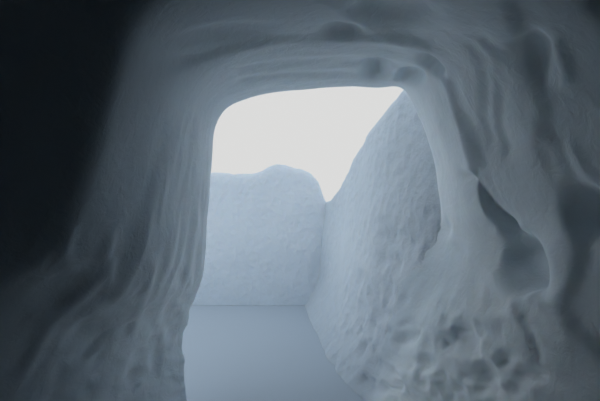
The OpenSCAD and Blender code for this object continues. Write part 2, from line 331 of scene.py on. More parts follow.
def makeStage():
    mesh = bmesh.new()
    bmesh.ops.create_grid(mesh, x_segments=1, y_segments=1, size=stageLook["reach"])
    floor = meshObject("floor", mesh)
    floor.location = (0, 0, -0.001)
    look = Shader("floor")
    colour = look.blend(look.seenDirectly(), stageLook["bounce"], stageLook["floor"])
    body = look.add("BsdfPrincipled", Base_Color=colour, Roughness=0.9, Specular_IOR_Level=0.2)
    floor.data.materials.append(look.cover(body))


def makeLight():
    world = bpy.data.worlds.new("studio")
    bpy.context.scene.world = world
    look = Nodes(world)
    lamp = look.add("Background", Color=stageLook["light"], Strength=stageLook["strength"])
    seen = look.add("Background", Color=stageLook["backdrop"])
    look.cover(look.add("MixShader", i0=look.seenDirectly(), i1=lamp, i2=seen), "OutputWorld")


# Meshes

def meshObject(name, mesh):
    data = bpy.data.meshes.new(name)
    mesh.to_mesh(data)
    mesh.free()
    thing = bpy.data.objects.new(name, data)
    bpy.context.collection.objects.link(thing)
    return thing


def finishPiece(thing, material, slot, *nodes):
    thing.data.materials.append(material)
    thing.data.shade_smooth()
    thing.data.set_sharp_from_angle(angle=math.radians(60))
    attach(thing, "root")
    if nodes:
        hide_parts(*nodes)
    print("made", thing.name, len(thing.data.polygons), "faces")


def thicken(thing, thickness, offset=-1):
    shell = thing.modifiers.new("shell", "SOLIDIFY")
    shell.thickness = thickness
    shell.offset = offset


def readPoints(source, key="co"):
    points = np.empty(len(source) * 3)
    source.foreach_get(key, points)
    return points.reshape(-1, 3)


def readNormals(thing):
    return readPoints(thing.data.vertex_normals, "vector")


def writePoints(thing, points):
    thing.data.vertices.foreach_set("co", np.ascontiguousarray(points, float).ravel())
    thing.data.update()


# Rolling unevenness of snow at a place, in metres: amounts by wavelength
def unevenness(points, layers, stretch=(1, 1, 1)):
    total = np.zeros(len(points))
    for wavelength, amount, shift in layers:
        where = points * (np.array(stretch) / wavelength) + shift
        total += amount * np.array([noise.noise(Vector(p)) for p in where])
    return total


# Pits: rounded hollows, sharp where they meet, each of its own depth
def pitted(points, layers, stretch):
    total = np.zeros(len(points))
    for width, amount, shift in layers:
        where = points * (np.array(stretch) / width) + shift
        found = [noise.voronoi(Vector(p)) for p in where]
        away = np.array([distances[0] for distances, places in found])
        own = np.array([noise.noise(places[0] * 1.7) for distances, places in found])
        total += amount * np.clip(1 - (away / 0.62) ** 2, 0, 1) * np.clip(0.55 + own * 1.6, 0, 1.2)
    return total


# Relief of trodden and wind-worn snow, on the bank and on the yard's walls
def snowRelief(points):
    smooth = unevenness(points, [(0.42, 0.010, 8.2), (0.16, 0.006, 3.3), (0.06, 0.003, 0.7),
                                 (0.027, 0.0014, 5.1)])
    swirled = points + unevenness(points, [(0.09, 0.03, 2.6)])[:, None]
    trodden = ease((0.75 - points[:, 2]) / 0.5) * ease((points[:, 1] - yard["faceY"] - 0.5) / 0.8)
    pits = [(0.066, 0.019, 4.2), (0.034, 0.009, 9.4), (0.021, 0.003, 1.7)]
    return smooth + trodden * pitted(swirled, pits, (1.1, 0.5, 1.0))


# The doorway's arch, grown by side and top, at angles round its springing line
def archPlace(angle, side, top):
    power = 2 / door["power"]
    x = (door["springHalf"] + side) * np.sign(np.cos(angle)) * np.abs(np.cos(angle)) ** power
    z = door["springZ"] + (door["crownZ"] + top - door["springZ"]) * np.sin(angle).clip(0) ** power
    return x, z


# The same arch from foot to foot
def archPoints(side, top, count):
    x, z = archPlace(np.linspace(0, math.pi, count), side, top)
    foot = door["floorHalf"] + side
    return np.concatenate([[foot], x, [-foot]]), np.concatenate([[0], z, [0]])


# Distance from the floor's middle line to the passage's side, in direction turn
def archReach(turn, side, top):
    x, z = archPoints(side, top, 400)
    return np.interp(turn, np.arctan2(z, x), np.hypot(x, z))


def domeReach(turn):
    return 1 / np.sqrt((np.cos(turn) / dome["radius"]) ** 2 + (np.sin(turn) / dome["height"]) ** 2)


def ease(t):
    t = np.clip(t, 0, 1)
    return t * t * (3 - 2 * t)


# The finished passage at three places along it: the outer lip, the edge where it
# begins to widen, and the mouth in the chamber. Each outline goes from the left foot
# over the top to the right foot, in the photograph's pixels. Each lies a distance
# from the lens, at its left and at its right; the mouth lies on the dome instead.
stations = {
    "lip": {
        "away": (view["toLip"], view["toLip"]),
        "outline": [(187, 416), (190, 396), (190, 350), (193, 310), (201, 290), (206, 268), (209, 240),
                    (211, 200), (213, 170), (215, 130), (220, 115), (231, 104), (250, 97), (275, 92),
                    (300, 90), (375, 90), (396, 87), (404, 90), (410, 106), (418, 120), (425, 136),
                    (432, 159), (437, 189), (440, 220), (442, 246), (434, 272), (414, 320), (396, 370),
                    (383, 416)],
    },
    "edge": {
        "away": (0.90, 1.10),
        "outline": [(118, 526), (132, 390), (141, 330), (148, 280), (154, 235), (158, 192), (163, 150),
                    (171, 112), (190, 82), (224, 60), (270, 50), (330, 46), (400, 48), (428, 62), (443, 86),
                    (447, 110), (459, 137), (467, 161), (473, 189), (482, 211), (496, 233), (502, 252),
                    (498, 285), (474, 340), (440, 400), (402, 467)],
    },
    "mouth": {
        "away": None,
        "outline": [(-240, 571), (-210, 470), (-150, 380), (-70, 315), (0, 284), (40, 264), (64, 234),
                    (82, 194), (95, 148), (116, 78), (130, 22), (158, -12), (220, -34), (300, -38),
                    (430, -34), (510, -22), (575, -4), (614, 40), (630, 95), (634, 150), (636, 200),
                    (634, 262), (630, 330), (628, 400), (620, 480), (606, 571)],
    },
}


# The x and z of pixels that lie a distance from the lens
def fromPixels(spots, away):
    x = eye.x - (spots[:, 0] - view["width"] / 2) * away / view["focalPx"]
    z = eye.z + ((view["height"] - 1) / 2 - spots[:, 1]) * away / view["focalPx"]
    return x, z


# The distance from the lens at which a pixel's line meets the front of the dome
def awayToDome(spots):
    near = np.zeros(len(spots))
    far = near + view["toLip"]
    for _ in range(40):
        half = (near + far) / 2
        x, z = fromPixels(spots, half)
        out = (x / dome["radius"]) ** 2 + (z / dome["height"]) ** 2 \
            + ((eye.y - half - dome["centreY"]) / dome["radius"]) ** 2 > 1
        near, far = np.where(out, near, half), np.where(out, half, far)
    return near


for station in stations.values():
    spots = np.array(station["outline"], float)
    if station["away"]:
        away = np.linspace(station["away"][0], station["away"][1], len(spots))
    else:
        away = awayToDome(spots)
    across, up = fromPixels(spots, away)
    up[0] = up[-1] = 0
    directions = np.arctan2(up, across)
    station["turns"] = np.linspace(0, math.pi, 721)
    kernel = np.hanning(25)
    for key, values in (("reach", np.hypot(across, up)), ("y", eye.y - away)):
        curve = np.pad(np.interp(station["turns"], directions, values), 12, mode="edge")
        station[key] = np.convolve(curve, kernel / kernel.sum(), mode="valid")


# A station's distance from the floor's middle line in direction turn, or its y there
def stationReach(name, turn, key="reach"):
    return np.interp(turn, stations[name]["turns"], stations[name][key])


# How far round the dome, from the doorway's axis, the mouth lies in direction turn,
# and the mouth's y there
def mouthAngle(turn):
    return np.arcsin(np.clip(stationReach("mouth", turn) / domeReach(turn), 0, 0.98))


def mouthDepth(turn):
    return dome["centreY"] - dome["radius"] * np.cos(mouthAngle(turn))


# The finished passage's distance from the floor's middle line: out through the three
# stations, with a step where it widens, but in one even slope along both its feet
def passageReach(turn, y):
    mouthY = mouthDepth(turn)
    edgeY = stationReach("edge", turn, "y")
    outer = np.clip((y - door["lipY"]) / (edgeY - door["lipY"]), 0, 1)
    inner = np.clip((y - edgeY) / (mouthY - edgeY), 0, 1)
    rightward = ease((turn - 0.6) / 1.6)
    jump = ease((y - edgeY) / lining["stepWidth"])
    lip = stationReach("lip", turn)
    edge = stationReach("edge", turn)
    mouth = stationReach("mouth", turn)
    step = lining["stepLeft"] + (lining["stepRight"] - lining["stepLeft"]) * rightward
    tube = lip + (edge - lip) * outer ** 1.2 + (mouth - edge) * (step * jump + (1 - step) * inner ** 1.1)
    along = np.clip((y - door["lipY"]) / (mouthY - door["lipY"]), 0, 1)
    slope = lip + (mouth - lip) * (0.75 * along + 0.25 * along ** 2)
    banked = ease((turn - math.radians(lining["bankTurn"])) / math.radians(lining["bankFade"])) \
        + ease((math.radians(lining["lowLeft"]) - turn) / math.radians(lining["lowFade"]))
    return tube + (slope - tube) * banked


lining = {
    "columns": 380,
    "passageRows": 100,
    "domeRows": 118,
    "seam": 14,  # rows into the chamber where the two pieces of skin meet
    "stepWidth": 0.05,  # over which the step where the passage widens is rounded
    "stepLeft": 0.25,  # its share of the widening, on each side of the picture
    "stepRight": 0.2,
    "bankTurn": 121,  # degrees round from the left foot where the bank begins,
    "bankFade": 12,  # and over how many it reaches its full form
    "lowLeft": 74,  # degrees below which the left side begins to widen evenly
    "lowFade": 46,
    "mouthRound": 8,  # rounds of smoothing at the inner mouth,
    "mouthRows": 9,  # and rows that it takes in on either side
    "shell": 0.012,
    "behind": 0.035,  # room kept between the finished inside and the blocks
    "behindCarving": 0.12,  # and behind the right wall, where it is carved deeper
    # The first rows: where the bank lies, over the side wall, as length beyond the lip
    # and depth in its face; elsewhere round the lip, further out and along
    "bankRows": [(0.17, 0.03), (0.155, 0.006), (0.14, -0.002), (0.125, -0.003)]
    + [(0.11 - 0.015 * i, -0.004) for i in range(7)] + [(0.006, -0.004)],
    "lip": [(0.105, 0.02), (0.10, 0.012), (0.095, 0.006), (0.088, 0.001), (0.078, -0.004),
            (0.066, -0.008), (0.052, -0.0105), (0.040, -0.011), (0.028, -0.0095), (0.017, -0.005),
            (0.009, 0.002), (0.003, 0.013)],
}


yard = {
    "footX": -0.184,  # of the side wall's face
    "thick": 0.3,
    "batter": 0.094,  # lean of the faces, in metres a metre
    "courseZ": 0.28,
    "nearZ": 1.0,
    "frontZ": 0.77,
    "frontThick": 0.32,
    "run": 1.15,
    "drift": 0.09,  # width of the snow gathered along a foot, and its height
    "driftZ": 0.22,
    "rounding": 0.05,
    "groove": 0.010,  # depth and width of a joint
    "grooveWidth": 0.011,
    "faceY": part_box("front_wall_course_1")[1].y,
    "endY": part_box("front_wall_course_1")[0].y,
}


# Snow that has gathered along a wall's foot
def footDrift(z):
    return yard["drift"] * np.maximum(0, 1 - z / yard["driftZ"]) ** 2


sideWall = {
    "bend": 0.5,  # length along which it curves in from the doorway's lip
    "closing": math.tan(math.radians(5)),  # how fast it closes in on the yard, going out
    "lipLean": (0.33, 0.02),  # lean of its face at the lip, up to bankZ and all the way up
    "bankZ": 0.49,
    "cell": 0.012,
    "along": (0, -1, 0),
    "from": door["lipY"],
    "yardSide": (1, 0, 0),
    "tucked": 0.08,  # length that runs on inside the porch,
    "turnAway": 0.9,  # and how fast its face turns away there
    # Where the passage's skin runs on over its foot: how deep its face lies under the
    # skin, how far out and how high
    "underSkin": 0.02,
    "skinReach": 0.115,
    "skinZ": 0.42,
    "crest": [(-0.1, 1.085), (0.0, 1.07), (0.2, 1.03), (0.35, 0.972), (0.67, 0.868), (0.96, 0.77),
              (1.31, 0.66), (1.52, 0.625), (1.84, 0.615)],
    "breaks": [[0.61, 1.23], [0.31, 0.92, 1.53], [0.61, 1.23]],
}


# The side wall's face towards the yard, a length beyond the doorway's lip
def sideFace(gone, z):
    far = yard["footX"] + sideWall["closing"] * gone - yard["batter"] * z + footDrift(z)
    low, everywhere = sideWall["lipLean"]
    atLip = yard["footX"] - low * np.minimum(z, sideWall["bankZ"]) - everywhere * z
    return far + (atLip - far) * np.maximum(0, 1 - gone / sideWall["bend"]) ** 2


# Strokes, hollows and ridges that the photograph shows inside, each at points in the
# photograph's pixels. A hollow is an oval with a tilt in degrees. A step goes down on
# the right of its path, over its width, and fades out again. Depths into the snow are
# in metres.

def hollow(at, size, tilt, depth):
    return {"kind": "hollow", "at": at, "size": size, "tilt": tilt, "depth": depth}


def step(width, depth, fade, *path):
    return {"kind": "step", "path": path, "width": width, "depth": depth, "fade": fade}


def ridge(width, height, *path):
    return groove(width, -height, *path)


def groove(width, depth, *path):
    return {"kind": "groove", "path": path, "width": width, "depth": depth}


strokes = [
    # the deep scoop in the right wall, its overhanging edge and the gully into it
    hollow((524, 262), (18, 24), -20, 0.024),
    step(5, 0.026, 22, (512, 238), (505, 244), (501, 254), (503, 264), (510, 274), (521, 285),
         (530, 293)),
    step(4, 0.028, 22, (526, 292), (538, 280), (542, 263), (534, 246), (522, 232), (514, 226)),
    ridge(5, 0.010, (496, 232), (508, 235), (518, 234)),
    step(4, 0.022, 11, (516, 226), (505, 214), (494, 203), (483, 191), (470, 174)),
    step(4, 0.02, 11, (470, 178), (477, 192), (483, 207), (490, 217), (498, 225), (507, 228)),
    ridge(6, 0.008, (455, 238), (466, 246), (480, 261), (497, 281), (512, 300)),
    groove(4, 0.006, (524, 318), (531, 335), (539, 358)),
    # dimples
    hollow((376, 70), (13, 9), 0, 0.044),
    hollow((410, 76), (12, 7), 0, 0.036),
    hollow((430, 65), (14, 6), 38, 0.036),
    hollow((341, 33), (19, 6), 0, 0.014),
    hollow((394, 14), (38, 15), 0, 0.030),
    ridge(5, 0.006, (326, 0), (350, 24), (376, 37), (404, 42)),
    hollow((228, 36), (42, 10), -4, 0.012),
    hollow((526, 54), (22, 20), 10, 0.008),
    step(8, 0.012, 24, (546, 80), (549, 58), (549, 47), (532, 33), (512, 38)),
    hollow((582, 214), (16, 24), -20, 0.045),
    # layers of the ceiling, and the step down to them
    step(6, 0.011, 30, (188, 68), (226, 56), (274, 45), (318, 44), (357, 40), (395, 43), (424, 50)),
    groove(4, 0.006, (238, 70), (290, 62), (350, 60), (398, 66)),
    groove(3, 0.005, (240, 80), (290, 74), (340, 73), (380, 76)),
    # the folds and hollows low on the left
    ridge(6, 0.008, (24, 369), (48, 324), (67, 308), (88, 290), (102, 272)),
    ridge(5, 0.008, (68, 236), (63, 254), (71, 268)),
    hollow((58, 288), (26, 13), -25, 0.009),
    hollow((91, 332), (19, 15), 0, 0.012),
    ridge(3, 0.006, (197, 218), (193, 236), (190, 262), (189, 284)),
    hollow((181, 276), (4, 8), 10, 0.007),
    hollow((171, 316), (8, 14), 8, 0.008),
    hollow((156, 360), (6, 11), 8, 0.008),
    ridge(4, 0.006, (152, 262), (149, 282), (142, 300), (132, 330)),
    ridge(5, 0.009, (110, 240), (104, 250), (109, 262), (108, 282)),
    # upright folds of the right wall
    groove(7, 0.006, (452, 84), (456, 106), (462, 124)),
    step(8, 0.008, 15, (466, 52), (476, 66), (478, 92), (477, 118), (484, 140)),
    step(8, 0.010, 15, (478, 46), (490, 58), (492, 92), (492, 128), (500, 150)),
    ridge(4, 0.004, (497, 60), (500, 92)),
    # and of the same wall's edge, down past the strand beside the scoop to the bank's end
    step(16, 0.012, 300, (505, 20), (516, 54), (520, 70), (534, 108), (531, 150), (549, 178), (563, 203),
         (570, 236), (570, 260), (563, 281), (553, 297), (556, 316), (566, 334), (586, 350),
         (612, 380)),
    ridge(5, 0.006, (544, 140), (552, 156), (562, 176)),
    ridge(5, 0.006, (566, 150), (578, 170), (590, 184)),
    ridge(6, 0.008, (552, 50), (560, 66), (562, 82)),
    # pits of the apron
    hollow((404, 339), (12, 6), 0, 0.010),
    hollow((449, 339), (10, 7), 20, 0.012),
    hollow((424, 363), (11, 9), 0, 0.012),
    hollow((504, 358), (12, 8), -20, 0.008),
    hollow((530, 374), (16, 8), 10, 0.012),
    hollow((512, 391), (10, 8), 0, 0.010),
    hollow((445, 228), (6, 9), 0, 0.012),
]


# Pixels of the photograph where points of the model show
def toPixels(points):
    away = np.maximum(eye.y - points[:, 1], 0.02)
    u = view["width"] / 2 - (points[:, 0] - eye.x) * view["focalPx"] / away
    v = (view["height"] - 1) / 2 - (points[:, 2] - eye.z) * view["focalPx"] / away
    return np.stack([u, v], axis=1)


# Distance to a path, and on which side: 1 on the picture's right of a path that goes
# down it, -1 on the left, and between the two past the path's ends
def distanceToPath(pixels, path):
    best = np.full(len(pixels), 1e9)
    side = np.zeros(len(pixels))
    for start, end in zip(path[:-1], path[1:]):
        a = np.array(start, float)
        run = np.array(end, float) - a
        off = pixels - a
        along = np.clip((off @ run) / (run @ run), 0, 1)
        away = np.linalg.norm(off - along[:, None] * run, axis=1)
        cross = off[:, 0] * run[1] - off[:, 1] * run[0]
        side = np.where(away < best, cross / np.maximum(np.linalg.norm(run) * away, 1e-6), side)
        best = np.minimum(best, away)
    return best, side


def strokeDepth(points):
    pixels = toPixels(points)
    ahead = points[:, 1] < eye.y - 0.25
    total = np.zeros(len(points))
    for stroke in strokes:
        if stroke["kind"] == "hollow":
            turn = math.radians(stroke["tilt"])
            off = pixels - np.array(stroke["at"], float)
            across = (off[:, 0] * math.cos(turn) + off[:, 1] * math.sin(turn)) / stroke["size"][0]
            up = (off[:, 1] * math.cos(turn) - off[:, 0] * math.sin(turn)) / stroke["size"][1]
            shape = np.exp(-(across ** 2 + up ** 2) ** 2)
        else:
            away, side = distanceToPath(pixels, stroke["path"])
            reach = away / stroke["width"]
            if stroke["kind"] == "step":
                shape = ease(reach) * np.exp(-(away / stroke["fade"]) ** 2) * np.clip(side, 0, 1)
            else:
                shape = np.exp(-reach ** 2)
        total += stroke["depth"] * shape
    return total * ahead


# How far the finished inside moves out into the snow at a place
def insideShape(points, outward):
    height = points[:, 2]
    turns = np.arctan2(height, points[:, 0])
    edgeY = stationReach("edge", turns, "y")
    past = points[:, 1] - edgeY
    nearDoor = ease((0.3 - past) / 0.3)
    rolling = unevenness(points, [(0.5, 0.009, 3.1), (0.19, 0.0055, 7.7), (0.085, 0.0024, 1.9)])
    fine = unevenness(points, [(0.035, 0.0006, 5.3)])
    # Upright streaks up the left side of the outer passage
    streaks = unevenness(points, [(0.06, 0.0042, 8.8), (0.03, 0.0014, 6.1)], (1, 2.0, 0.6))
    leftBand = ease((1.35 - turns) / 0.3) * ease((0.05 - past) / 0.06)
    # Thin layers under its vault
    layered = unevenness(points, [(0.14, 0.004, 1.3), (0.05, 0.0016, 3.3)], (0.35, 1.5, 1))
    ceiling = ease((height - 0.85) / 0.1) * ease((0.1 - past) / 0.1)
    # Coarse folds on the right, near the chamber
    folds = unevenness(points, [(0.13, 0.011, 2.9), (0.05, 0.004, 6.6)], (1, 0.8, 0.8))
    rightEnd = ease((turns - 1.9) / 0.3) * ease((past - 0.14) / 0.08) * ease((height - 0.38) / 0.2)
    # Worn and pitted along the bank, low on the left and over the side wall
    bank = ease((turns - math.radians(lining["bankTurn"] + 2)) / 0.25) * nearDoor
    lowLeft = ease((math.radians(56) - turns) / 0.3) * nearDoor
    worn = np.maximum(np.maximum(bank, 0.6 * lowLeft), ease((door["lipY"] - points[:, 1]) / 0.04))
    smooth = rolling + fine * (0.4 + 0.6 * nearDoor) + streaks * leftBand + folds * rightEnd \
        + layered * ceiling
    amount = smooth * (1 - worn) + snowRelief(points) * worn
    return amount + strokeDepth(points + outward * amount[:, None])


# Rows of points from the lip to the back of the chamber, closest on the right wall,
# where the photograph shows the finest forms
def liningPoints():
    x, z = archPoints(0, 0, 500)
    steps = np.hypot(np.diff(x), np.diff(z))
    rightWall = np.arctan2(z, x)[1:] > 1.7
    run = np.append(0, np.cumsum(steps * np.where(rightWall, 1.5, 1)))
    even = np.linspace(0, run[-1], lining["columns"])
    turns = np.interp(even, run, np.arctan2(z, x))
    rows = []

    def addRow(r, y):
        rows.append(np.stack([r * np.cos(turns), y, r * np.sin(turns)], axis=1))

    # Where the bank lies, the lip does not turn outward but runs on over the side wall
    banked = ease((turns - math.radians(lining["bankTurn"] - 3)) / math.radians(8))
    lip = stationReach("lip", turns)
    # Where the porch's blocks stand back from the lip, its face runs on out to them
    widest = lining["lip"][0][0]
    missing = np.maximum(archReach(turns, door["side"], door["top"]) + 0.045 - lip - widest, 0)
    for (further, along), (gone, sunk) in zip(lining["lip"], lining["bankRows"]):
        further = further + missing * max(further - 0.04, 0) / (widest - 0.04)
        height = np.minimum(lip, 0.7) * np.sin(turns)
        beyond = gone * banked
        # Settles on the height where the wall's face meets each direction
        for _ in range(30):
            wide = np.maximum(-np.cos(turns), 0.3)
            height = 0.5 * height + 0.5 * np.clip(-sideFace(beyond, height) / wide * np.sin(turns), 0, 1)
        onWall = -sideFace(beyond, height) / wide + sunk
        r = (lip + further) * (1 - banked) + onWall * banked
        y = door["lipY"] + along * (1 - banked) - gone * banked
        addRow(r, y)
    atMouth = mouthAngle(turns)
    mouthY = mouthDepth(turns)
    start = door["lipY"] + 0.03
    for v in np.linspace(0, 1, lining["passageRows"]):
        y = start + (mouthY - start) * v
        r = passageReach(turns, y)
        addRow(r, y)
    for w in np.linspace(0, 1, lining["domeRows"] + 1)[1:]:
        a = atMouth + (math.pi - atMouth) * w ** 1.35
        r = domeReach(turns) * np.sin(a)
        y = dome["centreY"] - dome["radius"] * np.cos(a)
        addRow(r, y)
    return np.array(rows)


# Rounds the corner where the passage opens into the chamber
def roundMouth(rows):
    mouth = len(lining["lip"]) + lining["passageRows"]
    first, last = mouth - lining["mouthRows"], mouth + lining["mouthRows"]
    for _ in range(lining["mouthRound"]):
        around = (rows[first - 1:last - 1] + rows[first + 1:last + 1]) / 2
        rows[first:last] += (around - rows[first:last]) * 0.6
    return rows


# The finished inside as a grid of points, from the lip to the back of the chamber
def finishedInside():
    rows = roundMouth(liningPoints())
    outward = np.cross(np.gradient(rows, axis=0), np.gradient(rows, axis=1)).reshape(-1, 3)
    outward /= np.maximum(np.linalg.norm(outward, axis=1, keepdims=True), 1e-9)
    points = rows.reshape(-1, 3)
    amount = np.pad(insideShape(points, outward).reshape(rows.shape[:2]), 1, mode="edge")
    amount = (amount[:-2] + 2 * amount[1:-1] + amount[2:]) / 4
    amount = (amount[:, :-2] + 2 * amount[:, 1:-1] + amount[:, 2:]) / 4
    moved = points + outward * amount.reshape(-1, 1)
    moved[:, 2] = np.where(points[:, 2] < 0.004, 0.0, np.maximum(moved[:, 2], 0.0))
    last = moved.reshape(rows.shape)
    last[-1] = last[-1].mean(axis=0)
    return last


def makeSkin(name, rows, material, *nodes):
    count, columns = rows.shape[:2]
    mesh = bmesh.new()
    bmesh.ops.create_grid(mesh, x_segments=columns - 1, y_segments=count - 1, size=1)
    mesh.verts.ensure_lookup_table()
    for vert, place in zip(mesh.verts, rows.reshape(-1, 3)):
        vert.co = place
    bmesh.ops.remove_doubles(mesh, verts=mesh.verts[-columns:], dist=0.0001)
    bmesh.ops.recalc_face_normals(mesh, faces=mesh.faces)
    thing = meshObject(name, mesh)
    sample = thing.data.polygons[columns * 3 + columns // 2]
    if sample.normal.dot(Vector((0, sample.center.y, 0.3)) - sample.center) < 0:
        thing.data.flip_normals()
    thicken(thing, lining["shell"])
    finishPiece(thing, material, "glazed_snow", *nodes)


def makeLining(material):
    rows = finishedInside()
    seam = len(lining["lip"]) + lining["passageRows"] + lining["seam"]
    makeSkin("passage_skin", rows[:seam + 1], material, "passage_lining", "passage_bank")
    makeSkin("chamber_skin", rows[seam:], material, "dome_lining")


# Snow blocks: a bevelled box, cut finer, then carried to its place by a function

blockLook = {
    "round": 0.024,
    "cell": 0.045,  # largest face of a block, before the unevenness
    "proud": (-0.004, 0.005),  # how far a block stands out, and how far it turns
    "lean": (-0.006, 0.006),
    "behindSkin": 0.055,  # from the lining's own back to the block's inner face
    "layers": [(0.31, 0.010, 4.4), (0.11, 0.006, 9.1), (0.045, 0.0026, 0.7)],
}


# carry takes shares of the block's length, thickness and height
def addBlock(mesh, size, carry, rounding=blockLook["round"], cell=blockLook["cell"], grounded=False):
    part = bmesh.new()
    bmesh.ops.create_cube(part, size=1)
    bmesh.ops.scale(part, vec=size, verts=part.verts)
    rounded = [e for e in part.edges if not grounded or max(v.co.z for v in e.verts) > 0]
    bmesh.ops.bevel(part, geom=rounded, offset=rounding, segments=3, profile=0.5, affect="EDGES", material=-1)
    for axis in range(3):
        cuts = max(1, int(size[axis] / cell))
        long = [e for e in part.edges if abs(e.verts[0].co[axis] - e.verts[1].co[axis]) > size[axis] * 0.5]
        bmesh.ops.subdivide_edges(part, edges=long, cuts=cuts, use_grid_fill=True)
    for vert in part.verts:
        share = [vert.co[i] / size[i] + 0.5 for i in range(3)]
        vert.co = carry(*share)
    bmesh.ops.recalc_face_normals(part, faces=part.faces)
    if part.calc_volume(signed=True) < 0:
        bmesh.ops.reverse_faces(part, faces=part.faces)
    scrap = bpy.data.meshes.new("scrap")
    part.to_mesh(scrap)
    part.free()
    mesh.from_mesh(scrap)
    bpy.data.meshes.remove(scrap)


# Moves points along their normals, and keeps those at the ground there
def push(thing, points, amount):
    moved = points + readNormals(thing) * amount[:, None]
    moved[:, 2] = np.where(points[:, 2] < 0.003, points[:, 2], np.maximum(moved[:, 2], 0.0))
    writePoints(thing, moved)


def roughen(thing, layers):
    points = readPoints(thing.data.vertices)
    push(thing, points, unevenness(points, layers))


def bedAngle(k):
    cut = dome["cutCourses"]
    if k <= cut:
        return dome["lintelBed"] * k / cut
    rest = 90 - dome["keyAngle"] - dome["lintelBed"]
    return dome["lintelBed"] + rest * (k - cut) / (len(dome["counts"]) - cut)


def domePoint(tilt, turn, grow):
    tilt, turn = math.radians(tilt), math.radians(turn)
    r = (dome["radius"] + grow) * math.cos(tilt)
    z = (dome["height"] + grow) * math.sin(tilt)
    return Vector((r * math.cos(turn), dome["centreY"] + r * math.sin(turn), z))


# Straight between the beds, as the blocks are cut
def leaningPoint(k, up, turn, grow):
    low = domePoint(bedAngle(k), turn, grow)
    high = domePoint(bedAngle(k + 1), turn, grow)
    return low.lerp(high, up)


def addDomeBlock(mesh, k, number):
    width = 360 / dome["counts"][k]
    start = -90 + dome["turns"][k] + (number - 1) * width
    proud = random.uniform(*blockLook["proud"])
    lean = random.uniform(*blockLook["lean"])
    mid = leaningPoint(k, 0.5, start, dome["lining"] + dome["block"])
    length = math.hypot(mid.x, mid.y - dome["centreY"]) * math.radians(width)
    height = (domePoint(bedAngle(k), 0, 0.2) - domePoint(bedAngle(k + 1), 0, 0.2)).length

    def carry(a, b, c):
        deep = blockLook["behindSkin"]
        grow = dome["lining"] + deep + (dome["block"] - deep + proud + lean * (a - 0.5)) * b
        return leaningPoint(k, c, start + width * a, grow)
    addBlock(mesh, (length, dome["block"], height), carry, grounded=k == 0)


# Moves blocks out of the passage and its finished inside
def clearPassage(thing):
    points = readPoints(thing.data.vertices)
    turns = np.arctan2(np.maximum(points[:, 2], 0), points[:, 0])
    mouthY = mouthDepth(turns)
    carved = ease((turns - 1.5) / 0.4) * ease((points[:, 1] - door["lipY"] - 0.1) / 0.1)
    room = lining["behind"] + (lining["behindCarving"] - lining["behind"]) * carved
    inside = passageReach(turns, np.minimum(points[:, 1], mouthY)) + room
    reach = np.maximum(inside, archReach(turns, door["side"], door["top"]))
    reach[points[:, 1] > dome["centreY"]] = 0
    grown = np.maximum(reach / np.maximum(np.hypot(points[:, 0], points[:, 2]), 1e-6), 1)
    points[:, 0] *= grown
    points[:, 2] *= grown
    writePoints(thing, points)


def makeCourse(name, k, numbers, material, besideDoor=False):
    mesh = bmesh.new()
    for number in numbers:
        addDomeBlock(mesh, k, number)
    thing = meshObject("snow_" + name, mesh)
    roughen(thing, blockLook["layers"])
    if besideDoor:
        clearPassage(thing)
    finishPiece(thing, material, "block_snow", name)


def makeKeyBlock(material):
    vent = 0.045
    mesh = bmesh.new()
    tilt = 90 - dome["keyAngle"]
    grow = dome["lining"] + dome["block"]
    rim = domePoint(tilt, 0, grow)
    low = domePoint(tilt, 0, dome["lining"])
    edge = blockLook["round"]
    outline = [(vent, dome["height"] + dome["lining"]), (low.x, low.z),
               (rim.x - 0.012, rim.z - 0.03), (rim.x - 0.006, rim.z - 0.008), (rim.x - edge, rim.z + 0.004)]
    top = dome["height"] + grow
    for t in np.linspace(0, 1, 9)[1:]:
        across = rim.x - edge + (vent + 0.015 - rim.x + edge) * t
        outline.append((across, rim.z + 0.004 + (top - rim.z - 0.004) * t))
    outline.append((vent, top - 0.02))
    verts = [mesh.verts.new((r, dome["centreY"], z)) for r, z in outline]
    edges = [mesh.edges.new((a, b)) for a, b in zip(verts, verts[1:] + verts[:1])]
    bmesh.ops.spin(mesh, geom=verts + edges, cent=(0, dome["centreY"], 0), axis=(0, 0, 1), angle=2 * math.pi,
                   steps=72, use_merge=True, use_duplicate=False)
    bmesh.ops.remove_doubles(mesh, verts=mesh.verts[:], dist=0.0005)
    bmesh.ops.recalc_face_normals(mesh, faces=mesh.faces[:])
    thing = meshObject("snow_key_block", mesh)
    roughen(thing, blockLook["layers"])
    finishPiece(thing, material, "block_snow", "key_block")


chinking = {
    "sink": 0.016,  # under the blocks' faces
    "shell": 0.02,
    "besideDoor": 0.09,  # kept free round the doorway
    "overDoor": 0.06,
    "layers": [(0.08, 0.006, 6.1), (0.03, 0.004, 2.0)],
    "porchFront": 0.04,  # depths in from the porch's front, inner and outer faces
    "porchInner": 0.03,
    "porchOuter": 0.036,
    "porchShell": 0.03,
    "porchLayers": [(0.08, 0.005, 6.1), (0.03, 0.003, 2.0)],
    "upFront": 0.3,  # share of its rows that go up behind the porch's front
}


